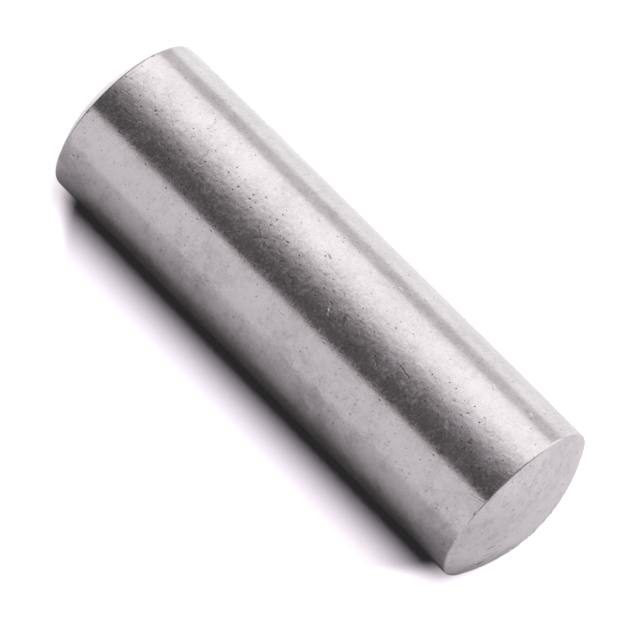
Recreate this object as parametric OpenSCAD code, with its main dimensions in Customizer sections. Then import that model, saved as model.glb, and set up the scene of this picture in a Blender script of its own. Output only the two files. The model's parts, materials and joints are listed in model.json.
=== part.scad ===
// Parallel dowel pin: one turned, hardened and ground steel piece.
// The axis runs along X, the origin is at the middle of the shank, and Z is up.
// Each end is a shallow dome behind a fine edge break. All sizes are in millimetres.

/* [Shank] */
// Ground diameter of the shank, the size that a reamed hole fits
pin_diameter = 10; // [6:0.5:12]
// Length of the shank between its two rims, domes left out
shank_length = 30; // [8:1:60]

/* [Ends] */
// Radius of the sphere that each domed end is a cap of
dome_radius = 9.4; // [6.5:0.1:20]
// Length, along the shank, of the fine cone that breaks the corner before each dome
edge_break = 0.08; // [0.03:0.01:0.3]

/* [Hidden] */
$fn = 180;
pin_radius = pin_diameter / 2;
half_shank = shank_length / 2;
// Angle between the axis and the dome's surface, where the dome meets the shank
dome_slope = acos(pin_radius / dome_radius);
// The edge break halves that corner, and the dome springs from its inner edge, the rim
break_slope = dome_slope / 2;
rim_radius = pin_radius - edge_break * tan(break_slope);
// The dome's centre lies on the axis, so that its sphere passes through the rim
dome_centre = half_shank - sqrt(dome_radius * dome_radius - rim_radius * rim_radius);
dome_tip = dome_centre + dome_radius;
// Each end is turned from a stub of bar that starts behind the rim and passes the tip
stock = 1;
stub_start = half_shank - stock;
stub_end = dome_tip + stock;

// Radius of the edge break's cone at a place on the axis
function break_radius(place) = rim_radius + (half_shank - place) * tan(break_slope);

// A round bar or cone along X, between two places on the axis
module bar(from, to, from_radius, to_radius) {
    translate([from, 0, 0])
        rotate([0, 90, 0])
            cylinder(h = to - from, r1 = from_radius, r2 = to_radius);
}

// The ground cylinder that fits the hole, up to the stubs that the ends are turned from
module shank() {
    bar(-stub_start, stub_start, pin_radius, pin_radius);
}

// The +X end: a stub of the bar, trimmed by the edge break and by the dome's sphere.
// The sphere's poles lie on the axis, so that both trims meet it in true circles
module domed_end() {
    intersection() {
        bar(stub_start, stub_end, pin_radius, pin_radius);
        bar(stub_start, stub_end, break_radius(stub_start), break_radius(stub_end));
        translate([dome_centre, 0, 0])
            rotate([0, 90, 0])
                sphere(r = dome_radius);
    }
}

module pin() {
    color("silver")
        union() {
            shank();
            domed_end();
            mirror([1, 0, 0])
                domed_end();
        }
}

pin();
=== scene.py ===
"""A parallel dowel pin with domed ends, in hardened steel that was ground and then tumbled."""

import json
import math

import bpy
import numpy as np
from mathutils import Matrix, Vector


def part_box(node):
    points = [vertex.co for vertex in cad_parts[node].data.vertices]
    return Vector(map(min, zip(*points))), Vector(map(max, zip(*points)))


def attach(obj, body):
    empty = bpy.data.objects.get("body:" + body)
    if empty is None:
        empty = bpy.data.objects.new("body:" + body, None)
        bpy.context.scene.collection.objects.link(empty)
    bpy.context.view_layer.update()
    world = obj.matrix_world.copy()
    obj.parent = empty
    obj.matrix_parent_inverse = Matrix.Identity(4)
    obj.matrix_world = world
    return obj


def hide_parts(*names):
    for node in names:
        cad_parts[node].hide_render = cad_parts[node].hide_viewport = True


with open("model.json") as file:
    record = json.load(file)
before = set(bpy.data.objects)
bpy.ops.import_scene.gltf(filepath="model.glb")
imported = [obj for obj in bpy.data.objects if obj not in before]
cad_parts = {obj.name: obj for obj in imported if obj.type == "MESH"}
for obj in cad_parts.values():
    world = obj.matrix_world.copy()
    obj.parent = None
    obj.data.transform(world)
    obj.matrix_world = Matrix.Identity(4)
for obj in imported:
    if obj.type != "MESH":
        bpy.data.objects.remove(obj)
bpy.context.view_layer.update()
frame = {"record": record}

bl_info = {
    "name": "Dowel pin",
    "version": (1, 0, 0),
    "blender": (4, 5, 0),
    "location": "View3D > Sidebar > Dowel pin",
    "description": "Turns a domed steel dowel pin and sets a soft studio round it",
    "category": "Add Mesh",
}

MM = 0.001
SHANK_MOUNT = next(m for m in frame["record"]["mounts"] if m["name"] == "shank")
PIN_RADIUS = SHANK_MOUNT["dims"]["r_mm"] * MM
PIN_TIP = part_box("pin")[1].x

# Marks from use, on the shank: place along the pin in mm, place round it in degrees from the top
# towards +Y, length and width in mm, heading in degrees from the pin's axis, depth in mm, and how
# dark and how rusty the mark is
SHANK_MARKS = [
    # Nicks and scratches on the top
    (1.93, -10.2, 0.4, 0.09, 116, 0.04, 0.0, 0.0),
    (2.1, -13.3, 0.26, 0.08, 120, 0.025, 0.0, 0.0),
    (1.82, -9.6, 0.34, 0.06, 108, 0.003, 0.8, 0.0),
    (-0.12, 11.3, 0.3, 0.09, 162, 0.01, 0.5, 1.0),
    (-0.3, 12.0, 0.14, 0.05, 20, 0.004, 0.4, 0.6),
    (-3.97, -4.5, 0.25, 0.06, 115, 0.007, 0.84, 0.0),
    (-3.86, -6.9, 0.22, 0.06, 100, 0.007, 0.98, 0.0),
    (-3.6, -8.5, 0.34, 0.06, 145, 0.007, 1.0, 0.0),
    (-3.4, -10.1, 0.26, 0.06, 130, 0.007, 1.0, 0.0),
    (-3.2, -9.3, 0.3, 0.06, 35, 0.007, 0.98, 0.0),
    (-3.5, -12.2, 0.24, 0.06, 60, 0.007, 0.84, 0.0),
    (-2.95, -12.2, 0.3, 0.06, 125, 0.007, 0.77, 0.0),
    (-2.1, -8.5, 0.3, 0.06, 165, 0.007, 0.7, 0.0),
    (-1.6, -11.5, 0.26, 0.06, 30, 0.007, 0.7, 0.0),
    (-0.62, -14.2, 0.3, 0.06, 50, 0.007, 0.98, 0.0),
    (-0.45, -15.4, 0.4, 0.06, 140, 0.007, 0.98, 0.0),
    (-0.85, -14.9, 0.2, 0.06, 160, 0.007, 0.84, 0.0),
    (-2.45, -1.6, 0.16, 0.06, 120, 0.007, 0.98, 0.2),
    (-2.2, -1.1, 0.3, 0.06, 20, 0.007, 0.7, 0.0),
    (2.9, -8.3, 0.3, 0.06, 85, 0.007, 0.84, 0.0),
    (3.6, -3.2, 0.3, 0.06, 95, 0.007, 0.7, 0.0),
    (4.6, -15.0, 0.5, 0.05, 50, 0.004, 0.6, 0.0),
    (-1.1, -3.6, 0.26, 0.05, 95, 0.006, 0.0, 0.0),
    (0.75, -8.4, 0.14, 0.05, 60, 0.006, 0.0, 0.0),
    (6.95, -6.2, 0.5, 0.06, 170, 0.008, 0.85, 0.0),
    (7.4, -7.0, 0.45, 0.06, 175, 0.007, 0.8, 0.0),
    (12.2, -9.4, 0.22, 0.09, 15, 0.007, 0.85, 0.0),
    (12.35, -12.6, 0.14, 0.07, 60, 0.005, 0.0, 0.0),
    (11.0, -8.9, 0.08, 0.08, 0, 0.012, 0.85, 0.0),
    (11.0, 2.6, 0.12, 0.11, 30, 0.012, 0.47, 0.2),
    (-9.8, 19.0, 0.8, 0.05, 105, 0.004, 0.4, 0.2),
    (-10.0, 23.5, 0.09, 0.08, 0, 0.01, 0.66, 0.4),
    (-9.55, 14.3, 0.08, 0.07, 0, 0.01, 0.66, 0.4),
    (-13.4, -14.0, 0.9, 0.05, 5, 0.005, 0.5, 0.0),
    (-14.05, -5.6, 0.7, 0.05, 10, 0.004, 0.5, 0.0),
    (-13.95, 6.3, 0.09, 0.08, 0, 0.01, 0.66, 0.2),
    (-14.75, 13.0, 0.12, 0.09, 0, 0.012, 0.57, 0.3),
    (-14.8, 0.5, 0.11, 0.09, 20, 0.01, 0.7, 0.7),
    (-14.55, 2.1, 0.1, 0.08, 40, 0.01, 0.6, 0.6),
    (-14.3, -0.6, 0.08, 0.07, 0, 0.008, 0.6, 0.3),
    (-12.3, -1.2, 0.15, 0.09, 80, 0.012, 0.8, 0.4),
    (-12.1, -2.8, 0.11, 0.07, 60, 0.01, 0.7, 0.3),
    (-12.45, 0.2, 0.09, 0.07, 0, 0.008, 0.7, 0.3),
    (-6.2, 1.5, 0.17, 0.12, 60, 0.012, 0.57, 0.8),
    (-5.3, 1.2, 0.16, 0.11, 30, 0.01, 0.57, 0.7),
    (2.35, -3.0, 0.3, 0.05, 95, 0.004, 0.5, 0.0),
    (4.9, -8.5, 0.4, 0.05, 70, 0.005, 0.6, 0.0),
    (14.6, -8.0, 0.5, 0.05, 25, 0.003, 0.0, 0.0),
    (14.8, -4.3, 0.3, 0.06, 20, 0.005, 0.0, 0.0),
    (14.8, 3.5, 0.3, 0.06, 95, 0.004, 0.5, 0.1),
    # Pits on the upper half
    (-8.5, -5.2, 0.09, 0.08, 0, 0.012, 0.76, 0.2),
    (-5.25, -6.0, 0.08, 0.08, 0, 0.01, 0.76, 0.0),
    (0.3, 14.4, 0.08, 0.08, 0, 0.01, 0.52, 0.5),
    (-0.57, 29.6, 0.11, 0.1, 0, 0.015, 0.66, 0.0),
    (8.85, 21.2, 0.08, 0.08, 0, 0.01, 0.66, 0.3),
    (8.4, 29.2, 0.08, 0.08, 0, 0.01, 0.57, 0.0),
    (9.4, 39.0, 0.1, 0.08, 30, 0.012, 0.57, 0.2),
    (4.65, 40.5, 0.2, 0.08, 0, 0.01, 0.5, 0.2),
    (-10.75, 42.8, 0.09, 0.08, 0, 0.012, 0.57, 0.2),
    (2.9, 48.5, 0.3, 0.08, 110, 0.01, 0.55, 0.2),
    (13.3, 45.0, 0.16, 0.08, 60, 0.012, 0.47, 0.4),
    # Bright flecks
    (0.9, 33.8, 0.2, 0.07, 140, 0.012, 0.0, 0.0),
    (3.45, 31.9, 0.25, 0.07, 5, 0.012, 0.0, 0.0),
    (10.65, 28.4, 0.3, 0.07, 130, 0.012, 0.0, 0.0),
    (11.1, 35.3, 0.25, 0.07, 110, 0.012, 0.0, 0.0),
    (13.0, 34.2, 0.25, 0.09, 175, 0.014, 0.0, 0.0),
    # Pits and scratches on the -Y flank
    (-10.6, -27.4, 0.09, 0.08, 0, 0.01, 0.66, 0.2),
    (-8.9, -29.0, 0.09, 0.08, 0, 0.01, 0.66, 0.2),
    (-6.5, -28.9, 0.08, 0.06, 0, 0.01, 0.57, 0.0),
    (-5.5, -28.1, 0.08, 0.06, 0, 0.01, 0.57, 0.0),
    (3.05, -27.5, 0.09, 0.08, 0, 0.01, 0.57, 0.0),
    (7.25, -28.2, 0.09, 0.08, 0, 0.01, 0.57, 0.0),
    (11.3, -28.4, 0.11, 0.08, 60, 0.012, 0.66, 0.0),
    (-1.35, -37.3, 0.12, 0.08, 10, 0.015, 0.71, 0.2),
    (2.5, -37.5, 0.09, 0.08, 0, 0.015, 0.71, 0.1),
    (0.3, -33.5, 0.5, 0.05, 5, 0.005, 0.35, 0.0),
    (-0.9, -54.2, 0.09, 0.07, 50, 0.012, 0.57, 0.0),
    (-1.75, -59.3, 0.14, 0.12, 0, 0.015, 0.76, 0.5),
    (6.4, -41.3, 0.16, 0.11, 10, 0.015, 0.76, 0.0),
    (6.5, -48.4, 0.14, 0.1, 30, 0.015, 0.76, 0.1),
    (6.75, -54.8, 0.11, 0.09, 0, 0.012, 0.66, 0.1),
    (6.45, -56.6, 0.12, 0.08, 40, 0.012, 0.57, 0.1),
    (6.25, -62.0, 0.09, 0.08, 0, 0.012, 0.57, 0.1),
    (5.95, -63.5, 0.5, 0.06, 85, 0.006, 0.4, 0.0),
    (7.15, -32.5, 0.5, 0.05, 70, 0.004, 0.4, 0.0),
    (5.8, -43.5, 0.5, 0.05, 60, 0.004, 0.4, 0.0),
    (9.1, -45.0, 0.11, 0.09, 0, 0.012, 0.66, 0.0),
    (8.95, -45.6, 0.08, 0.08, 0, 0.012, 0.57, 0.0),
    (10.3, -44.4, 0.09, 0.09, 0, 0.012, 0.66, 0.0),
    (10.5, -50.4, 0.09, 0.09, 0, 0.012, 0.71, 0.0),
    (10.9, -48.4, 0.11, 0.09, 90, 0.01, 0.47, 0.7),
    (10.0, -76.8, 0.16, 0.09, 110, 0.012, 0.66, 0.0),
    (-14.2, -59.3, 0.2, 0.17, 30, 0.025, 0.85, 0.0),
    (-12.35, -63.4, 0.12, 0.1, 0, 0.015, 0.76, 0.0),
    (-11.6, -69.0, 0.11, 0.09, 0, 0.015, 0.66, 0.0),
    (-10.9, -60.0, 0.09, 0.08, 0, 0.012, 0.66, 0.0),
    (-7.15, -62.6, 0.09, 0.08, 0, 0.012, 0.66, 0.0),
    (14.5, -28.5, 0.8, 0.05, 15, 0.002, 0.35, 0.0),
    (14.4, -31.0, 0.7, 0.05, 20, 0.002, 0.3, 0.0),
    # Dents in the rims
    (14.93, -36.0, 0.2, 0.14, 80, 0.02, 0.4, 0.0),
    (14.93, -58.0, 0.15, 0.12, 80, 0.02, 0.4, 0.0),
    (14.93, 62.0, 0.3, 0.1, 85, 0.02, 0.2, 0.0),
    (-14.93, 24.0, 0.25, 0.12, 80, 0.02, 0.5, 0.0),
    (-14.93, -30.0, 0.2, 0.1, 85, 0.015, 0.5, 0.0),
    (14.93, 140.0, 0.3, 0.14, 80, 0.02, 0.4, 0.0),
    (-14.93, 120.0, 0.3, 0.14, 80, 0.02, 0.4, 0.0),
    # A few on the side that rests on the floor
    (-6.0, 150.0, 0.7, 0.07, 130, 0.01, 0.5, 0.0),
    (5.2, 120.0, 0.16, 0.12, 0, 0.015, 0.76, 0.2),
    (9.0, -150.0, 0.8, 0.06, 60, 0.008, 0.5, 0.0),
    (-2.0, 95.0, 0.5, 0.06, 20, 0.008, 0.5, 0.0),
    (1.0, -125.0, 0.16, 0.11, 0, 0.015, 0.76, 0.3),
]

# Marks on the domed ends, seen end-on: which end, y and z in mm, and then as above, with the
# heading from +Y towards +Z. A burr that stands up has a negative depth
END_MARKS = [
    (1, -1.85, 1.08, 0.16, 0.13, 60, 0.015, 0.7, 0.0),
    (1, -1.35, 1.95, 0.35, 0.08, 130, 0.014, 0.0, 0.0),
    (1, -2.7, 0.7, 0.5, 0.12, 10, 0.015, 0.45, 0.3),
    (1, -2.95, -0.05, 0.35, 0.12, 5, 0.015, 0.4, 0.2),
    (1, -2.2, 0.35, 0.3, 0.09, 160, 0.012, 0.35, 0.1),
    (1, -3.2, -1.05, 0.5, 0.14, 35, 0.015, 0.35, 0.1),
    (1, -2.5, -0.5, 0.4, 0.1, 30, 0.015, 0.35, 0.1),
    (1, -1.6, -0.9, 0.6, 0.12, 120, 0.018, 0.3, 0.3),
    (1, -0.9, -0.7, 0.5, 0.12, 115, 0.018, 0.1, 0.0),
    (1, 2.3, 1.05, 0.22, 0.14, 120, 0.012, 0.4, 0.4),
    (1, 2.1, 0.25, 0.3, 0.16, 100, 0.012, 0.3, 0.3),
    (1, 3.9, 1.5, 0.35, 0.16, 110, 0.01, 0.25, 0.0),
    (1, -3.0, 2.5, 0.2, 0.08, 90, 0.01, 0.4, 0.0),
    (1, 0.1, 3.1, 0.4, 0.06, 10, 0.008, 0.3, 0.0),
    (1, 0.9, -1.2, 0.5, 0.14, 110, 0.02, 0.2, 0.2),
    (1, 1.7, -0.8, 0.4, 0.12, 105, 0.02, 0.2, 0.2),
    # Burrs that stand up, low on the +X end
    (1, 0.5, -2.65, 0.16, 0.13, 90, -0.045, 0.0, 0.0),
    (1, 0.02, -2.8, 0.22, 0.14, 80, -0.035, 0.1, 0.0),
    (1, -0.6, -2.95, 0.3, 0.16, 80, -0.03, 0.0, 0.0),
    (1, -1.15, -3.05, 0.2, 0.15, 90, -0.035, 0.1, 0.0),
    (1, 1.2, -2.45, 0.2, 0.14, 100, -0.035, 0.0, 0.0),
    (1, 1.76, -2.28, 0.16, 0.13, 90, -0.05, 0.1, 0.0),
    (1, 2.5, -2.02, 0.14, 0.12, 90, -0.025, 0.0, 0.0),
    (1, 0.25, -2.3, 0.4, 0.09, 20, -0.02, 0.4, 0.1),
    (1, -0.8, -2.55, 0.5, 0.1, 25, -0.02, 0.4, 0.1),
    # Fine scrapes low on the +X end
    (1, -3.15, -1.35, 0.55, 0.055, 18, 0.008, 0.45, 0.1),
    (1, -2.7, -1.62, 0.5, 0.06, 24, 0.01, 0.6, 0.0),
    (1, -2.35, -1.42, 0.35, 0.05, 14, 0.006, 0.35, 0.0),
    (1, -2.45, -1.95, 0.45, 0.055, 16, 0.01, 0.55, 0.0),
    (1, -3.3, -1.8, 0.4, 0.055, 27, 0.008, 0.4, 0.1),
    (1, -2.95, -2.15, 0.6, 0.06, 12, 0.01, 0.6, 0.1),
    (1, -2.1, -2.3, 0.4, 0.055, 20, 0.008, 0.45, 0.0),
    (1, -2.0, -1.2, 0.4, 0.055, 25, 0.008, 0.45, 0.0),
    (1, -1.7, -1.85, 0.3, 0.05, 30, 0.006, 0.35, 0.1),
    (1, -1.6, -2.45, 0.35, 0.055, 22, 0.008, 0.4, 0.0),
    (1, -1.1, -1.7, 0.4, 0.07, 40, 0.012, 0.5, 0.2),
    (1, -2.6, -2.55, 0.5, 0.055, 8, 0.01, 0.5, 0.0),
    (1, -2.05, -2.85, 0.35, 0.05, 15, 0.008, 0.4, 0.0),
    (1, -3.6, -1.1, 0.3, 0.05, 35, 0.006, 0.3, 0.0),
    (1, -0.9, -2.3, 0.35, 0.12, 60, 0.03, 0.5, 0.0),
    (1, -0.3, -1.9, 0.3, 0.12, 100, 0.03, 0.5, 0.2),
    (1, 0.2, -1.5, 0.4, 0.1, 110, 0.02, 0.4, 0.0),
    (1, 0.4, -3.9, 0.6, 0.08, 30, 0.012, 0.4, 0.0),
    (1, -1.8, -3.6, 0.15, 0.15, 0, 0.015, 0.7, 0.0),
    (-1, 1.2, 1.4, 0.3, 0.1, 40, 0.012, 0.5, 0.0),
    (-1, -2.0, 3.2, 0.3, 0.1, 10, 0.012, 0.5, 0.2),
    (-1, -0.8, -1.6, 0.7, 0.08, 70, 0.012, 0.4, 0.0),
    (-1, 2.6, -1.2, 0.16, 0.14, 0, 0.015, 0.7, 0.0),
    (-1, -2.9, 0.6, 0.5, 0.08, 120, 0.012, 0.4, 0.0),
]

# Small helpers for modelling


def clear_selection():
    """Deselects everything in object mode, so that an operator acts on one new thing only."""
    if bpy.context.mode != "OBJECT":
        bpy.ops.object.mode_set(mode="OBJECT")
    bpy.ops.object.select_all(action="DESELECT")


def select_where(piece, test):
    """Selects, in edit mode, the vertices whose place passes the test and what they enclose."""
    bpy.ops.object.mode_set(mode="OBJECT")
    for polygon in piece.data.polygons:
        polygon.select = False
    for edge in piece.data.edges:
        edge.select = False
    for vertex in piece.data.vertices:
        vertex.select = test(vertex.co)
    bpy.ops.object.mode_set(mode="EDIT")
    bpy.ops.mesh.select_mode(type="VERT")


def extrude_by(step):
    bpy.ops.mesh.extrude_region_move(TRANSFORM_OT_translate={"value": step})


def apply_modifier(piece, kind, **settings):
    modifier = piece.modifiers.new(kind.title(), kind)
    for name, value in settings.items():
        setattr(modifier, name, value)
    bpy.context.view_layer.objects.active = piece
    bpy.ops.object.modifier_apply(modifier=modifier.name)


# Small helpers for materials

# Settings of the nodes that are used most
EASED = {"interpolation_type": "SMOOTHSTEP"}
TIMES = {"operation": "MULTIPLY"}


def linear(hex_colour):
    """An sRGB hex colour as the linear RGBA that a shader takes."""
    channels = [int(hex_colour[i : i + 2], 16) / 255 for i in (1, 3, 5)]
    return [c / 12.92 if c <= 0.04045 else ((c + 0.055) / 1.055) ** 2.4 for c in channels] + [1.0]


def add_node(tree, kind, settings=None, inputs=None):
    """Adds a node. Each input is a value, or the socket or node whose first output feeds it."""
    node = tree.nodes.new(kind)
    for name, value in (settings or {}).items():
        setattr(node, name, value)
    for key, value in (inputs or {}).items():
        if isinstance(value, bpy.types.Node):
            value = value.outputs[0]
        if isinstance(value, bpy.types.NodeSocket):
            tree.links.new(value, node.inputs[key])
        else:
            node.inputs[key].default_value = value
    return node


def new_material(name):
    material = bpy.data.materials.new(name)
    material.use_nodes = True
    material.node_tree.nodes.clear()
    return material


def places(tree):
    """The place on the object in millimetres: whole, and as its parts along X, Y and Z."""
    whole = add_node(tree, "ShaderNodeTexCoord")
    space = add_node(
        tree,
        "ShaderNodeVectorMath",
        {"operation": "SCALE"},
        {0: whole.outputs["Object"], "Scale": 1 / MM},
    )
    return space, add_node(tree, "ShaderNodeSeparateXYZ", inputs={0: space}).outputs


def weighed_sum(tree, terms, start=0.0):
    """The start and each (term, weight) product, added up."""
    total = start
    for term, weight in terms:
        total = add_node(
            tree,
            "ShaderNodeMath",
            {"operation": "MULTIPLY_ADD"},
            {0: term, 1: weight, 2: total},
        )
    return total


def distance_from(tree, value, middle):
    """How far the value lies from the middle, on either side."""
    off = add_node(tree, "ShaderNodeMath", {"operation": "SUBTRACT"}, {0: value, 1: middle})
    return add_node(tree, "ShaderNodeMath", {"operation": "ABSOLUTE"}, {0: off})


# The steel

# How much grime there is all over, from 0 to 1
EVEN_GRIME = 0.06


def cloudiness(tree, place, grain, detail, persistence, shift=0.0):
    """Even-tempered mottling round 0.

    The grain is the size of its largest patches in millimetres, one for all or one for each axis.
    """
    sizes = grain if isinstance(grain, tuple) else (grain,) * 3
    scaled = add_node(
        tree,
        "ShaderNodeVectorMath",
        {"operation": "MULTIPLY_ADD"},
        {0: place, 1: [1 / size for size in sizes], 2: [shift / size for size in sizes]},
    )
    noise = add_node(
        tree,
        "ShaderNodeTexNoise",
        inputs={"Vector": scaled, "Scale": 1.0, "Detail": detail, "Roughness": persistence},
    )
    return add_node(tree, "ShaderNodeMath", {"operation": "SUBTRACT"}, {0: noise, 1: 0.5})


def short_scratches(tree, surface, cell, length, width, share, lean=0.0, spread=math.tau, wave=0.3):
    """One short, slightly bent scratch in some cells of a net laid over the surface.

    Sizes are in millimetres. The share says how many cells have a scratch, lean where the scratches
    point, spread how much they differ in that, and wave how far they bend.
    """
    bend = add_node(
        tree,
        "ShaderNodeTexNoise",
        {"noise_dimensions": "2D"},
        {"Vector": surface, "Scale": 1.5 / cell},
    )
    bent = add_node(
        tree,
        "ShaderNodeVectorMath",
        {"operation": "MULTIPLY_ADD"},
        {0: bend.outputs["Color"], 1: (wave, wave, 0), 2: surface},
    )
    net = add_node(
        tree,
        "ShaderNodeTexVoronoi",
        {"voronoi_dimensions": "2D"},
        {"Vector": bent, "Scale": 1 / cell},
    )
    chance = add_node(tree, "ShaderNodeSeparateColor", inputs={0: net.outputs["Color"]}).outputs
    local = add_node(
        tree,
        "ShaderNodeVectorMath",
        {"operation": "SUBTRACT"},
        {0: bent, 1: net.outputs["Position"]},
    )
    heading = add_node(
        tree,
        "ShaderNodeMapRange",
        inputs={0: chance[0], 3: lean - spread / 2, 4: lean + spread / 2},
    )
    turned = add_node(
        tree,
        "ShaderNodeVectorRotate",
        {"rotation_type": "Z_AXIS"},
        {"Vector": local, "Angle": heading},
    )
    axes = add_node(tree, "ShaderNodeSeparateXYZ", inputs={0: turned}).outputs
    present = add_node(
        tree, "ShaderNodeMath", {"operation": "LESS_THAN"}, {0: chance[1], 1: share}
    )
    scratch = add_node(tree, "ShaderNodeMath", TIMES, {0: present, 1: chance[2]})
    # It fades out along its length and across its width
    for axis, fade_start, fade_end in (
        (axes["X"], 0.2 * length, 0.5 * length),
        (axes["Y"], 0.15 * width, 0.6 * width),
    ):
        off = add_node(tree, "ShaderNodeMath", {"operation": "ABSOLUTE"}, {0: axis})
        fade = add_node(
            tree, "ShaderNodeMapRange", EASED, {0: off, 1: fade_start, 2: fade_end, 3: 1.0, 4: 0.0}
        )
        scratch = add_node(tree, "ShaderNodeMath", TIMES, {0: scratch, 1: fade})
    return scratch


def pin_pricks(tree, surface, cell, radius, share):
    """Small round pits in some cells of a net, each of its own depth. Sizes are in millimetres."""
    net = add_node(
        tree,
        "ShaderNodeTexVoronoi",
        {"voronoi_dimensions": "2D"},
        {"Vector": surface, "Scale": 1 / cell},
    )
    chance = add_node(tree, "ShaderNodeSeparateColor", inputs={0: net.outputs["Color"]}).outputs
    present = add_node(
        tree, "ShaderNodeMath", {"operation": "LESS_THAN"}, {0: chance[0], 1: share}
    )
    # The net gives distances in cells
    flat, rim = 0.3 * radius / cell, 1.1 * radius / cell
    pit = add_node(
        tree,
        "ShaderNodeMapRange",
        EASED,
        {0: net.outputs["Distance"], 1: flat, 2: rim, 3: 1.0, 4: 0.0},
    )
    depth = add_node(tree, "ShaderNodeMath", TIMES, {0: present, 1: chance[1]})
    return add_node(tree, "ShaderNodeMath", TIMES, {0: pit, 1: depth})


def finish_steel(tree, settings, satin, grime, relief):
    """The shader that both finishes share: bare steel with its satin, grime, rust and relief."""
    dirt = add_node(tree, "ShaderNodeAttribute", {"attribute_name": "dirt"}).outputs["Fac"]
    rust = add_node(tree, "ShaderNodeAttribute", {"attribute_name": "rust"}).outputs["Fac"]
    grimy = add_node(
        tree,
        "ShaderNodeMix",
        {"data_type": "RGBA", "clamp_factor": True},
        {
            "Factor": weighed_sum(tree, [(dirt, 0.75)], grime),
            "A": linear(settings.steel_colour),
            "B": linear(settings.grime_colour),
        },
    )
    tone = add_node(
        tree,
        "ShaderNodeMix",
        {"data_type": "RGBA"},
        {
            "Factor": weighed_sum(tree, [(rust, 0.6)]),
            "A": grimy.outputs[2],
            "B": linear(settings.rust_colour),
        },
    )
    bump = add_node(
        tree, "ShaderNodeBump", inputs={"Height": relief, "Distance": MM, "Strength": 1.0}
    )
    shader = add_node(
        tree,
        "ShaderNodeBsdfPrincipled",
        inputs={
            "Base Color": tone.outputs[2],
            "Metallic": 1.0,
            "Roughness": satin,
            "Normal": bump,
        },
    )
    add_node(tree, "ShaderNodeOutputMaterial", inputs={"Surface": shader})


def ground_shank_steel(settings):
    """Hardened bearing steel, centreless ground and then tumbled against other pins.

    The eye sees soft-edged bands of the studio in a faintly pink grey, clouded where the satin is
    uneven, with fine strands of grinding round the pin, hair scratches at all angles and tiny pits.
    """
    material = new_material("ground_shank_steel")
    tree = material.node_tree
    space, axes = places(tree)
    # The unrolled shank: along the pin, and round it from the top towards +Y
    turn = add_node(
        tree, "ShaderNodeMath", {"operation": "ARCTAN2"}, {0: axes["Y"], 1: axes["Z"]}
    )
    arc = add_node(tree, "ShaderNodeMath", TIMES, {0: turn, 1: PIN_RADIUS / MM})
    unrolled = add_node(tree, "ShaderNodeCombineXYZ", inputs={0: axes["X"], 1: arc})
    # Patches of satin from 0.9 mm wide down to 0.04 mm
    clouds = cloudiness(tree, space, grain=0.9, detail=4.5, persistence=1.0)
    speckle = cloudiness(tree, space, grain=0.16, detail=2.0, persistence=0.9, shift=23.0)
    waves = cloudiness(tree, space, grain=0.5, detail=1.5, persistence=0.6, shift=77.0)
    stains = cloudiness(tree, space, grain=0.8, detail=4.5, persistence=1.0, shift=31.0)
    broad_stains = cloudiness(tree, space, grain=3.0, detail=3.0, persistence=0.7, shift=11.0)
    # Grinding strands 0.06 mm wide run about 0.8 mm round the pin
    strands = cloudiness(tree, space, grain=(0.06, 0.8, 0.8), detail=2.0, persistence=0.5)
    # Tumbling leaves burnished hairs, smoother than the satin round them. Real ones are finer, and
    # are drawn as coarse as they need to show
    hairs = short_scratches(tree, unrolled, cell=0.3, length=0.45, width=0.055, share=0.8)
    long_hairs = short_scratches(
        tree,
        unrolled,
        cell=1.0,
        length=1.0,
        width=0.055,
        share=0.7,
        lean=math.pi / 2,
        spread=2.2,
        wave=0.7,
    )
    pits = pin_pricks(tree, unrolled, cell=0.45, radius=0.055, share=0.34)
    # The marks crowd on the side that now lies on top
    from_top = distance_from(tree, arc, -0.3)
    worn = add_node(
        tree, "ShaderNodeMapRange", EASED, {0: from_top, 1: 0.8, 2: 1.7, 3: 1.0, 4: 0.0}
    )
    wear = weighed_sum(tree, [(worn, 1.6)], 1.0)
    even_clouds = add_node(
        tree, "ShaderNodeMapRange", EASED, {0: clouds, 1: -0.16, 2: 0.16, 3: 0.5, 4: -0.5}
    )
    uneven = weighed_sum(
        tree,
        [
            (even_clouds, settings.cloud_satin),
            (speckle, 0.3),
            (strands, 0.2),
            (hairs, -0.08),
            (long_hairs, -0.08),
        ],
    )
    satin = weighed_sum(tree, [(uneven, wear)], settings.steel_roughness)
    # The flanks below are more stained
    low = add_node(
        tree, "ShaderNodeMapRange", EASED, {0: arc, 1: -2.2, 2: -5.5, 3: 0.8, 4: 1.9}
    )
    stain = weighed_sum(tree, [(stains, 0.75), (broad_stains, 0.5), (strands, 0.15)])
    scratched = weighed_sum(tree, [(hairs, 0.13), (long_hairs, 0.15), (pits, 0.7)])
    grime = weighed_sum(tree, [(stain, low), (scratched, wear)], EVEN_GRIME)
    worn_waves = add_node(tree, "ShaderNodeMath", TIMES, {0: waves, 1: worn})
    # Heights in millimetres
    height = weighed_sum(
        tree,
        [
            (clouds, settings.cloud_relief),
            (worn_waves, 0.007),
            (strands, 0.003),
            (hairs, -0.001),
            (long_hairs, -0.0014),
            (pits, -0.003),
        ],
    )
    relief = add_node(tree, "ShaderNodeMath", TIMES, {0: height, 1: wear})
    finish_steel(tree, settings, satin, grime, relief)
    return material


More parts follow.
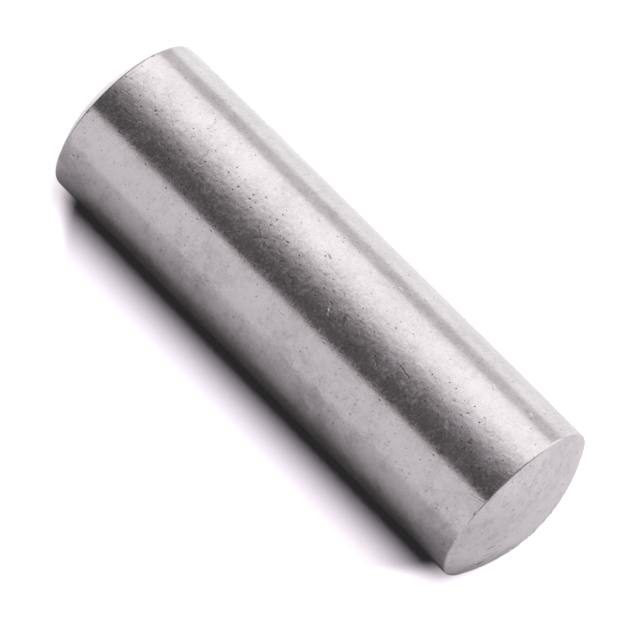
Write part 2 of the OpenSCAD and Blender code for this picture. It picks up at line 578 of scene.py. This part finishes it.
def domed_end_steel(settings):
    """The same steel on the cut-off ends, tumbled without grinding.

    The eye sees an even pale grey with faint scrapes across it, a few dark lines and pits.
    """
    material = new_material("domed_end_steel")
    tree = material.node_tree
    space, axes = places(tree)
    end_on = add_node(tree, "ShaderNodeCombineXYZ", inputs={0: axes["Y"], 1: axes["Z"]})
    clouds = cloudiness(tree, space, grain=1.2, detail=4.5, persistence=0.85)
    stains = cloudiness(tree, space, grain=0.9, detail=4.5, persistence=0.95, shift=57.0)
    # Scrapes 0.11 mm wide run about 0.9 mm across the end, 20 degrees off level
    leaning = add_node(
        tree,
        "ShaderNodeVectorRotate",
        {"rotation_type": "X_AXIS"},
        {"Vector": space, "Angle": math.radians(-20)},
    )
    scrapes = cloudiness(tree, leaning, grain=(0.8, 0.9, 0.11), detail=3.0, persistence=0.65)
    # They are deepest in a scuffed patch low on the +X end, which is also darkened with painted
    # shade for the floor's shadow that the dome reflects there
    from_scuff_and_shade = add_node(
        tree, "ShaderNodeVectorMath", {"operation": "DISTANCE"}, {0: space, 1: (15.5, -2.6, -2.1)}
    )
    scuff_and_shade = add_node(
        tree,
        "ShaderNodeMapRange",
        EASED,
        {0: from_scuff_and_shade.outputs["Value"], 1: 0.9, 2: 2.4, 3: 1.0, 4: 0.0},
    )
    scrapes = add_node(
        tree, "ShaderNodeMath", TIMES, {0: scrapes, 1: weighed_sum(tree, [(scuff_and_shade, 6.0)], 1.0)}
    )
    hairs = short_scratches(tree, end_on, cell=0.45, length=0.5, width=0.055, share=0.6)
    pits = pin_pricks(tree, end_on, cell=0.6, radius=0.06, share=0.35)
    satin = weighed_sum(tree, [(clouds, 0.4)], settings.end_roughness)
    # Painted shade: the scuffed patch's extra grime darkens it where the dome reflects the floor's
    # shadow
    grime = weighed_sum(
        tree,
        [(stains, 1.15), (scrapes, 0.5), (scuff_and_shade, 0.22), (hairs, 0.14), (pits, 0.5)],
        EVEN_GRIME,
    )
    # Heights in millimetres
    relief = weighed_sum(
        tree, [(clouds, 0.006), (scrapes, 0.004), (hairs, -0.002), (pits, -0.003)]
    )
    finish_steel(tree, settings, satin, grime, relief)
    return material


# The pin

# How near two places are when their vertices are merged, and when they are picked out
MERGE_NEAR = 0.001 * MM
PICK_NEAR = 0.01 * MM
# Millimetres round a mark in which the faces are cut finer, and how many cuts each edge gets
MARK_MARGIN = 0.16
MARK_CUTS = 4


def rim_place(settings):
    """How far from the middle the dome's sphere meets the shank's cylinder."""
    return PIN_TIP - settings.dome_radius + math.sqrt(settings.dome_radius**2 - PIN_RADIUS**2)


def turn_profile(settings):
    """Draws half of the pin's outline: the dome's arc, then the shank's edge back to the middle."""
    dome_centre = PIN_TIP - settings.dome_radius
    dome_angle = math.asin(PIN_RADIUS / settings.dome_radius)
    bpy.ops.mesh.primitive_plane_add(size=PIN_RADIUS)
    pin = bpy.context.object
    bpy.ops.object.mode_set(mode="EDIT")
    bpy.ops.mesh.merge(type="CENTER")
    bpy.ops.transform.translate(value=(PIN_TIP, 0, 0))
    # A short last step of the arc holds the dome's curve beside the rounded rim
    rim_step = 2 * settings.edge_round
    rim_angle = rim_step / settings.dome_radius
    for steps, angle in ((settings.dome_rings, dome_angle - rim_angle), (1, rim_angle)):
        bpy.ops.mesh.spin(steps=steps, angle=-angle, center=(dome_centre, 0, 0), axis=(0, 1, 0))
    # So does a short first step of the shank
    extrude_by((-rim_step, 0, 0))
    half_rings = settings.shank_rings // 2
    for _ in range(half_rings):
        extrude_by(((rim_step - rim_place(settings)) / half_rings, 0, 0))
    return pin


def turn_pin(settings):
    """Spins the outline into a solid of revolution, mirrors it, and rounds its two rims."""
    clear_selection()
    pin = turn_profile(settings)
    pin.name = pin.data.name = "domed_pin"
    bpy.ops.mesh.select_all(action="SELECT")
    bpy.ops.mesh.spin(
        steps=settings.pin_sides,
        angle=math.tau,
        center=(0, 0, 0),
        axis=(1, 0, 0),
        use_auto_merge=True,
    )
    bpy.ops.mesh.select_all(action="SELECT")
    bpy.ops.mesh.remove_doubles(threshold=MERGE_NEAR)
    bpy.ops.object.mode_set(mode="OBJECT")
    apply_modifier(pin, "MIRROR", use_axis=(True, False, False), merge_threshold=MERGE_NEAR)
    rim = rim_place(settings)
    select_where(
        pin,
        lambda place: abs(abs(place.x) - rim) < PICK_NEAR
        and abs(math.hypot(place.y, place.z) - PIN_RADIUS) < PICK_NEAR,
    )
    bpy.ops.mesh.bevel(
        offset=settings.edge_round, segments=4, affect="EDGES", clamp_overlap=False
    )
    bpy.ops.mesh.select_all(action="SELECT")
    bpy.ops.mesh.normals_make_consistent(inside=False)
    clear_selection()
    pin.select_set(True)
    bpy.context.view_layer.objects.active = pin
    bpy.ops.object.shade_smooth()
    return pin


def reach_of_mark(spots, mark):
    """Distance in millimetres from each spot on the pin to the mark's middle line."""
    end, first, second, length, width, heading = mark[:6]
    along_pin, side, up = spots.T
    radius = PIN_RADIUS / MM
    if end == 0:
        turn = np.arctan2(side, up) - math.radians(second)
        across_view = ((turn + math.pi) % math.tau - math.pi) * radius
        along_view = along_pin - first
    else:
        # The other end and the shank are out of reach
        elsewhere = (along_pin * end <= 0) | (np.hypot(side, up) > 0.995 * radius)
        along_view, across_view = np.where(elsewhere, 99.0, side - first), up - second
    run = math.radians(heading)
    along = along_view * math.cos(run) + across_view * math.sin(run)
    across = across_view * math.cos(run) - along_view * math.sin(run)
    return np.hypot(np.maximum(np.abs(along) - max(length - width, 0.0) / 2, 0.0), across)


def spots_of(items, name):
    """Places of vertices or faces in millimetres, one row each."""
    spots = np.empty(len(items) * 3)
    items.foreach_get(name, spots)
    return spots.reshape(-1, 3) / MM


def cut_finer(pin, marks):
    """Cuts the faces round each mark finer."""
    middles = spots_of(pin.data.polygons, "center")
    near = np.zeros(len(middles), dtype=bool)
    for mark in marks:
        near |= reach_of_mark(middles, mark) < mark[4] / 2 + MARK_MARGIN
    bpy.ops.object.mode_set(mode="EDIT")
    bpy.ops.mesh.select_mode(type="FACE")
    bpy.ops.mesh.select_all(action="DESELECT")
    bpy.ops.object.mode_set(mode="OBJECT")
    pin.data.polygons.foreach_set("select", near)
    bpy.ops.object.mode_set(mode="EDIT")
    bpy.ops.mesh.subdivide(number_cuts=MARK_CUTS, smoothness=1.0)
    bpy.ops.object.mode_set(mode="OBJECT")


def press_marks(pin):
    """Presses each mark into the pin or raises it, and notes its dirt and rust."""
    marks = [(0, *mark) for mark in SHANK_MARKS] + END_MARKS
    cut_finer(pin, marks)
    spots = spots_of(pin.data.vertices, "co")
    pressed, dirt, rust = (np.zeros(len(spots)) for _ in range(3))
    for mark in marks:
        width, depth, mark_dirt, mark_rust = mark[4], *mark[6:]
        # Full near the middle line, and faded out 0.65 widths from it
        fade = np.clip(1.55 - 2.4 * reach_of_mark(spots, mark) / width, 0.0, 1.0)
        depths = depth * fade**2 * (3 - 2 * fade)
        pressed = np.where(np.abs(depths) > np.abs(pressed), depths, pressed)
        dirt = np.maximum(dirt, mark_dirt * fade)
        rust = np.maximum(rust, mark_rust * fade)
    # Displace takes no negative weights, so burrs are raised apart from the dents
    for sign in (1, -1):
        depths = np.maximum(pressed * sign, 0.0)
        deepest = depths.max()
        group = pin.vertex_groups.new(name="pressed")
        for index in np.flatnonzero(depths):
            group.add([int(index)], depths[index] / deepest, "REPLACE")
        apply_modifier(
            pin,
            "DISPLACE",
            vertex_group="pressed",
            mid_level=0.0,
            strength=-sign * deepest * MM,
        )
        pin.vertex_groups.clear()
    for name, amounts in (("dirt", dirt), ("rust", rust)):
        pin.data.attributes.new(name, "FLOAT", "POINT").data.foreach_set("value", amounts)


# The studio

# Light of the tent's cloth round the pin, from the -Y floor over the top to the +Y floor:
# degrees from straight up and strength, where the white wall is 1
TENT_LIGHT = [
    (-89.0, 0.54),
    (-75.0, 0.55),
    (-60.0, 0.58),
    (-38.2, 0.58),
    (-36.7, 0.067),
    (-18.0, 0.09),
    (-4.0, 0.155),
    (2.0, 0.22),
    (12.0, 0.42),
    (24.0, 0.79),
    (36.0, 1.06),
    (50.0, 1.17),
    (62.0, 1.14),
    (74.0, 1.07),
    (75.5, 0.58),
    (89.0, 0.6),
]

# Painted light and shadow of the bounce paper, a glow that is darkest close to the pin on its -Y
# side and brightest on its +Y side: millimetres from the pin's axis towards +Y, and strength
BOUNCE_PAINTED_LIGHT = [
    (-99.0, 0.1),
    (-30.0, 0.06),
    (-16.0, 0.025),
    (-10.5, 0.025),
    (-9.2, 0.05),
    (-7.4, 0.072),
    (-6.4, 0.058),
    (-5.1, 0.028),
    (-4.6, 0.015),
    (-2.0, 0.02),
    (7.5, 0.5),
    (11.0, 0.72),
    (30.0, 0.9),
    (54.0, 0.88),
    (96.0, 0.3),
]

# The two tones of the bounce paper: its own faintly violet white, and the neutral white of the
# painted window light that tints its glow on the +Y side
VIOLET_WHITE = "#F3F4F6"
PAINTED_WINDOW_WHITE = "#EEF4F0"

# Sizes of the tent and of both floors, in metres
TENT_RADIUS = 0.4
FLOOR_SIZE = 4.0

# Where the camera stands: degrees from -Y towards +X, degrees up, and distance
CAMERA_AZIMUTH = 47.3745
CAMERA_ELEVATION = 67.1238
CAMERA_DISTANCE = 276.28 * MM
# What the lens looks at: how far right of the pin's middle and above it, as the camera sees it
CAMERA_AIM = Vector((-0.127, -0.377, 0)) * MM
CAMERA_LENS = 302.8


def graded_light(tree, place, table, reach, blend):
    """Light that follows a table of (place, strength), for places from -reach to reach."""
    share = add_node(tree, "ShaderNodeMapRange", inputs={0: place, 1: -reach, 2: reach})
    ramp = add_node(tree, "ShaderNodeValToRGB", inputs={0: share})
    ramp.color_ramp.interpolation = blend
    stops = ramp.color_ramp.elements
    for at, light in table:
        stop = stops.new((at / reach + 1) / 2)
        stop.color = (light, light, light, 1.0)
    # The two stops that a new ramp has lie outside the table's
    stops.remove(stops[0])
    stops.remove(stops[len(stops) - 1])
    return ramp


def graded_tent(settings):
    """Lamp cloth of the tent: a white wall that fades overhead, a dark lens slot and a grey wall.

    The eye sees it only in the steel, as the bands that run along the shank.
    """
    material = new_material("tent_cloth")
    tree = material.node_tree
    _, axes = places(tree)
    # Degrees from straight up, positive towards +Y
    turn = add_node(
        tree, "ShaderNodeMath", {"operation": "ARCTAN2"}, {0: axes["Y"], 1: axes["Z"]}
    )
    degrees = add_node(tree, "ShaderNodeMath", TIMES, {0: turn, 1: math.degrees(1)})
    bands = graded_light(tree, degrees, TENT_LIGHT, 90.0, "LINEAR")
    # The white wall reaches higher at its -X end
    from_crest = distance_from(tree, degrees, 16.0)
    crest = add_node(
        tree, "ShaderNodeMapRange", EASED, {0: from_crest, 1: 0.0, 2: 26.0, 3: 0.14, 4: 0.0}
    )
    at_crest_end = add_node(
        tree, "ShaderNodeMapRange", EASED, {0: axes["X"], 1: -152.0, 2: -122.0, 3: 1.0, 4: 0.0}
    )
    # The grey wall is a little lighter towards both of its ends
    from_middle = distance_from(tree, axes["X"], -116.0)
    lighter = add_node(
        tree, "ShaderNodeMapRange", EASED, {0: from_middle, 1: 4.0, 2: 24.0, 3: 0.0, 4: 0.11}
    )
    on_grey_wall = add_node(
        tree, "ShaderNodeMapRange", EASED, {0: degrees, 1: -40.0, 2: -36.0, 3: 1.0, 4: 0.0}
    )
    # The white wall comes down to the table at its +X end
    skirt = add_node(
        tree, "ShaderNodeMapRange", EASED, {0: axes["X"], 1: -70.0, 2: -10.0, 3: 0.0, 4: 0.5}
    )
    under_wall = add_node(
        tree, "ShaderNodeMapRange", EASED, {0: degrees, 1: 76.0, 2: 73.0, 3: 1.0, 4: 0.0}
    )
    light = weighed_sum(
        tree, [(crest, at_crest_end), (lighter, on_grey_wall), (skirt, under_wall)], bands
    )
    # The white wall is a cooler white than the rest
    dim = add_node(tree, "ShaderNodeMapRange", EASED, {0: light, 1: 1.0, 2: 0.7, 3: 1.0, 4: 0.0})
    tint = add_node(
        tree,
        "ShaderNodeMix",
        {"data_type": "RGBA"},
        {"Factor": dim, "A": linear("#FFFDFF"), "B": linear("#FDFEFE")},
    )
    strength = add_node(tree, "ShaderNodeMath", TIMES, {0: light, 1: settings.tent_strength})
    emission = add_node(tree, "ShaderNodeEmission", inputs={0: tint.outputs[2], 1: strength})
    add_node(tree, "ShaderNodeOutputMaterial", inputs={"Surface": emission})
    return material


def end_cloth():
    """Plain grey cloth over the tent's two ends: an even glow with no pattern."""
    material = new_material("tent_ends")
    tree = material.node_tree
    emission = add_node(tree, "ShaderNodeEmission", inputs={0: linear("#BCBCBC"), 1: 0.5})
    add_node(tree, "ShaderNodeOutputMaterial", inputs={"Surface": emission})
    return material


def matt_paper(name, colour):
    """Matt white sweep paper: it scatters light evenly, and an emission on it adds painted light as
    a glow.

    Gives the material, and the node of that glow with its colour and strength still to be linked.
    """
    material = new_material(name)
    tree = material.node_tree
    diffuse = add_node(tree, "ShaderNodeBsdfDiffuse", inputs={0: linear(colour)})
    # Painted light: an emission that makes the paper glow though no lamp lights it
    painted_light = add_node(tree, "ShaderNodeEmission", inputs={0: linear(colour)})
    both = add_node(tree, "ShaderNodeAddShader", inputs={0: diffuse, 1: painted_light})
    add_node(tree, "ShaderNodeOutputMaterial", inputs={"Surface": both})
    return material, painted_light


def white_paper():
    """The paper under the pin. A painted glow whitens it past the pin's two ends, painting out the
    overhead lamp's shadow there, and a faint painted glow lifts that shadow beside the pin's
    middle.
    """
    material, painted_light = matt_paper("white_paper", "#FFF7FF")
    tree = material.node_tree
    _, axes = places(tree)
    from_middle = distance_from(tree, axes["X"], -0.9)
    from_line = distance_from(tree, axes["Y"], 0.0)
    past_pin = add_node(
        tree,
        "ShaderNodeMath",
        {"operation": "MAXIMUM"},
        {
            0: weighed_sum(tree, [(from_line, 0.8)], from_middle),
            1: weighed_sum(tree, [(from_middle, 1.2)]),
        },
    )
    # Painted light: faint in the shadow beside the pin's middle, strong past its two ends and
    # farther out
    glow = add_node(
        tree, "ShaderNodeMapRange", EASED, {0: past_pin, 1: 16.9, 2: 18.4, 3: 0.022, 4: 0.62}
    )
    tree.links.new(glow.outputs[0], painted_light.inputs["Strength"])
    return material


def bounce_paper():
    """The paper as the steel shows it: a second copy of the floor, lit by a side window, with
    painted light and shadow from a glow that is bright on its +Y half and dark close to the pin.

    The eye sees it in the flanks of the shank and in the domed ends.
    """
    material, painted_light = matt_paper("bounce_paper", VIOLET_WHITE)
    tree = material.node_tree
    _, axes = places(tree)
    # The painted light's bright half lies a little askew to the pin
    skew = add_node(
        tree, "ShaderNodeMapRange", EASED, {0: axes["Y"], 1: 0.0, 2: -4.0, 3: -0.1, 4: 0.0}
    )
    across = weighed_sum(tree, [(axes["X"], skew)], axes["Y"])
    beside = graded_light(tree, across, BOUNCE_PAINTED_LIGHT, 100.0, "EASE")
    # Past the pin's +X end the painted glow is more even
    past_end = add_node(
        tree, "ShaderNodeMapRange", EASED, {0: axes["X"], 1: 14.5, 2: 19.0, 3: 0.0, 4: 1.0}
    )
    even_glow = add_node(
        tree, "ShaderNodeMapRange", EASED, {0: axes["Y"], 1: -8.0, 2: 9.0, 3: 0.26, 4: 0.53}
    )
    far_glow = add_node(
        tree, "ShaderNodeMapRange", EASED, {0: axes["X"], 1: 24.0, 2: 40.0, 3: 0.0, 4: 0.16}
    )
    end_glow = weighed_sum(tree, [(far_glow, 1.0)], even_glow)
    glow = add_node(
        tree, "ShaderNodeMix", inputs={"Factor": past_end, "A": beside, "B": end_glow}
    )
    # Close behind the -X end the painted glow is brightest
    behind = add_node(
        tree, "ShaderNodeMapRange", EASED, {0: axes["X"], 1: -19.5, 2: -16.5, 3: 0.42, 4: 0.0}
    )
    from_line = distance_from(tree, axes["Y"], 0.0)
    near_line = add_node(
        tree, "ShaderNodeMapRange", EASED, {0: from_line, 1: 9.0, 2: 15.0, 3: 1.0, 4: 0.0}
    )
    glow = weighed_sum(tree, [(behind, near_line)], glow)
    # The painted glow takes the window light's neutral tint beside the pin, on the +Y side
    on_side = add_node(
        tree, "ShaderNodeMapRange", EASED, {0: axes["Y"], 1: 12.0, 2: 7.0, 3: 1.0, 4: 0.0}
    )
    before_end = add_node(
        tree, "ShaderNodeMapRange", EASED, {0: axes["X"], 1: 14.5, 2: 19.0, 3: 1.0, 4: 0.0}
    )
    window = add_node(tree, "ShaderNodeMath", TIMES, {0: on_side, 1: before_end})
    tone = add_node(
        tree,
        "ShaderNodeMix",
        {"data_type": "RGBA"},
        {"Factor": window, "A": linear(VIOLET_WHITE), "B": linear(PAINTED_WINDOW_WHITE)},
    )
    tree.links.new(tone.outputs[2], painted_light.inputs["Color"])
    tree.links.new(glow.outputs[0], painted_light.inputs["Strength"])
    return material


def show_only_in(thing, **seen_by):
    """Turns off every kind of ray that isn't named."""
    for kind in ("camera", "diffuse", "glossy", "transmission", "volume_scatter", "shadow"):
        setattr(thing, "visible_" + kind, seen_by.get(kind, False))


def lay_floor(name, material, **seen_by):
    clear_selection()
    bpy.ops.mesh.primitive_plane_add(size=FLOOR_SIZE, location=(0, 0, -PIN_RADIUS))
    floor = bpy.context.object
    floor.name = floor.data.name = name
    bpy.ops.object.transform_apply(location=True, rotation=True, scale=True)
    floor.data.materials.append(material)
    show_only_in(floor, **seen_by)
    return floor


def light_only(lamp, thing):
    """Links a lamp to the one thing that it lights."""
    receivers = bpy.data.collections.new(lamp.name + "_receivers")
    receivers.objects.link(thing)
    lamp.light_linking.receiver_collection = receivers


def aim(thing, direction):
    """Turns a lamp or camera so that it looks along the direction."""
    thing.rotation_euler = direction.to_track_quat("-Z", "Y").to_euler()


def bearing(azimuth, elevation):
    """Unit vector from the pin towards a place round it. Azimuth 0 is -Y and 90 is +X."""
    a, e = math.radians(azimuth), math.radians(elevation)
    return Vector((math.sin(a) * math.cos(e), -math.cos(a) * math.cos(e), math.sin(e)))


def raise_tent(settings):
    """A half-round tent over the pin, whose walls show only in the steel."""
    clear_selection()
    bpy.ops.mesh.primitive_cylinder_add(
        vertices=96,
        radius=TENT_RADIUS,
        depth=2 * TENT_RADIUS,
        end_fill_type="NGON",
        rotation=(0, math.pi / 2, 0),
    )
    tent = bpy.context.object
    tent.name = tent.data.name = "tent"
    bpy.ops.object.transform_apply(location=True, rotation=True, scale=True)
    bpy.ops.object.mode_set(mode="EDIT")
    bpy.ops.mesh.select_all(action="SELECT")
    bpy.ops.mesh.bisect(
        plane_co=(0, 0, -2 * PIN_RADIUS), plane_no=(0, 0, 1), clear_inner=True
    )
    bpy.ops.object.mode_set(mode="OBJECT")
    tent.data.materials.append(graded_tent(settings))
    tent.data.materials.append(end_cloth())
    for polygon in tent.data.polygons:
        polygon.material_index = 1 if abs(polygon.normal.x) > 0.9 else 0
    show_only_in(tent, glossy=True)


def hang_sun(name, floor, azimuth, elevation, width, strength, colour):
    """A broad distant lamp, its width in degrees, that lights one floor."""
    bpy.ops.object.light_add(type="SUN")
    sun = bpy.context.object
    sun.name = name
    # A sun of strength pi lights a white floor to 1
    sun.data.energy = strength * math.pi
    sun.data.angle = math.radians(width)
    sun.data.color = linear(colour)[:3]
    aim(sun, -bearing(azimuth, elevation))
    sun.visible_camera = sun.visible_glossy = False
    light_only(sun, floor)


def hang_lamps(settings, floor, bounce):
    """A broad lamp overhead whitens the floor. A side window lights the floor in the steel."""
    clear_selection()
    hang_sun(
        "overhead",
        floor,
        azimuth=105,
        elevation=76,
        width=28,
        strength=settings.floor_light,
        colour="#FFFFFF",
    )
    hang_sun(
        "side_window",
        bounce,
        azimuth=165,
        elevation=34,
        width=60,
        strength=settings.side_light,
        colour="#FFFBFD",
    )


def place_camera():
    """A long lens that looks down on the pin from its +X, -Y side."""
    clear_selection()
    bpy.ops.object.camera_add()
    camera = bpy.context.object
    camera.name = "camera"
    toward = bearing(CAMERA_AZIMUTH, CAMERA_ELEVATION)
    aim(camera, -toward)
    target = camera.rotation_euler.to_matrix() @ CAMERA_AIM
    camera.location = target + toward * CAMERA_DISTANCE
    camera.data.sensor_width = 36
    camera.data.lens = CAMERA_LENS
    camera.data.clip_start, camera.data.clip_end = 0.01, 10
    camera.data.dof.use_dof = False
    bpy.context.scene.camera = camera


def paint_world():
    """A white room past the floor's edge, which lights nothing."""
    world = bpy.data.worlds.new("white_room")
    world.use_nodes = True
    tree = world.node_tree
    tree.nodes.clear()
    background = add_node(tree, "ShaderNodeBackground", inputs={0: linear("#FFFFFF"), 1: 1.0})
    add_node(tree, "ShaderNodeOutputWorld", inputs={0: background})
    world.cycles_visibility.diffuse = False
    world.cycles_visibility.glossy = False
    bpy.context.scene.world = world


# The add-on's own parts


class DowelPinSettings(bpy.types.PropertyGroup):
    dome_radius: bpy.props.FloatProperty(
        name="Dome radius",
        description="Radius of the sphere that each end is a cap of",
        default=9.4 * MM,
        unit="LENGTH",
    )
    edge_round: bpy.props.FloatProperty(
        name="Edge rounding",
        description="How far the rounding of each rim reaches from the corner",
        default=0.085 * MM,
        unit="LENGTH",
    )
    pin_sides: bpy.props.IntProperty(name="Sides", description="Faces round the pin", default=192)
    shank_rings: bpy.props.IntProperty(
        name="Shank rings", description="Rings of faces along the shank", default=120
    )
    dome_rings: bpy.props.IntProperty(
        name="Dome rings", description="Rings of faces on each dome", default=20
    )
    steel_colour: bpy.props.StringProperty(
        name="Steel colour",
        description="Colour of the bare steel, as an sRGB hex value",
        default="#D0CACD",
    )
    steel_roughness: bpy.props.FloatProperty(
        name="Steel roughness",
        description="Satin left by tumbling, from 0, a mirror, to 1, matt",
        default=0.195,
        subtype="FACTOR",
    )
    end_roughness: bpy.props.FloatProperty(
        name="End roughness",
        description="Satin of the domed ends, from 0, a mirror, to 1, matt",
        default=0.25,
        subtype="FACTOR",
    )
    cloud_satin: bpy.props.FloatProperty(
        name="Uneven satin",
        description="How much the satin differs from patch to patch",
        default=0.1,
    )
    cloud_relief: bpy.props.FloatProperty(
        name="Uneven surface",
        description="Height of the surface's gentle waves, in millimetres",
        default=0.0045,
    )
    rust_colour: bpy.props.StringProperty(
        name="Rust colour",
        description="Colour of the old rust in pits, as an sRGB hex value",
        default="#8A6A58",
    )
    grime_colour: bpy.props.StringProperty(
        name="Grime colour",
        description="Colour of the dirt in scratches, as an sRGB hex value",
        default="#5E5452",
    )


class StageSettings(bpy.types.PropertyGroup):
    floor_light: bpy.props.FloatProperty(
        name="Floor light",
        description="Strength of the overhead lamp on the floor",
        default=1.14,
    )
    side_light: bpy.props.FloatProperty(
        name="Side window",
        description="Strength of the window that lights the floor seen in the steel",
        default=1.0,
    )
    tent_strength: bpy.props.FloatProperty(
        name="Tent light", description="Strength of the tent's white wall", default=1.3
    )


class DOWEL_OT_turn_pin(bpy.types.Operator):
    """Model the pin and give it its steel"""

    bl_idname = "dowel.turn_pin"
    bl_label = "Turn the pin"

    def execute(self, context):
        settings = context.scene.dowel_pin
        pin = turn_pin(settings)
        press_marks(pin)
        pin.data.materials.append(ground_shank_steel(settings))
        pin.data.materials.append(domed_end_steel(settings))
        dome_start = rim_place(settings) - PICK_NEAR
        for polygon in pin.data.polygons:
            polygon.material_index = int(abs(polygon.center.x) > dome_start)
        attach(pin, "root")
        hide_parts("pin")
        return {"FINISHED"}


class DOWEL_OT_set_stage(bpy.types.Operator):
    """Lay the floor, raise the tent, hang the lamps and place the camera"""

    bl_idname = "dowel.set_stage"
    bl_label = "Set the stage"

    def execute(self, context):
        settings = context.scene.dowel_stage
        floor = lay_floor("floor", white_paper(), camera=True)
        # A second copy of the floor, seen only in the steel, carries painted light and shadow
        bounce = lay_floor("bounce_floor", bounce_paper(), glossy=True)
        raise_tent(settings)
        hang_lamps(settings, floor, bounce)
        paint_world()
        place_camera()
        context.scene.view_settings.view_transform = "Standard"
        # Light that the steel would throw back on the floor is left out
        context.scene.cycles.caustics_reflective = False
        return {"FINISHED"}


class DOWEL_PT_sidebar(bpy.types.Panel):
    bl_label = "Dowel pin"
    bl_idname = "DOWEL_PT_sidebar"
    bl_space_type = "VIEW_3D"
    bl_region_type = "UI"
    bl_category = "Dowel pin"

    def draw(self, context):
        for settings, operator in (
            (context.scene.dowel_pin, DOWEL_OT_turn_pin),
            (context.scene.dowel_stage, DOWEL_OT_set_stage),
        ):
            box = self.layout.box()
            for name in settings.__annotations__:
                box.prop(settings, name)
            box.operator(operator.bl_idname)


CLASSES = (DowelPinSettings, StageSettings, DOWEL_OT_turn_pin, DOWEL_OT_set_stage, DOWEL_PT_sidebar)


def register():
    for cls in CLASSES:
        bpy.utils.register_class(cls)
    bpy.types.Scene.dowel_pin = bpy.props.PointerProperty(type=DowelPinSettings)
    bpy.types.Scene.dowel_stage = bpy.props.PointerProperty(type=StageSettings)


def unregister():
    del bpy.types.Scene.dowel_stage
    del bpy.types.Scene.dowel_pin
    for cls in reversed(CLASSES):
        bpy.utils.unregister_class(cls)


def main():
    register()
    bpy.ops.dowel.turn_pin()
    bpy.ops.dowel.set_stage()


if __name__ == "__main__":
    main()
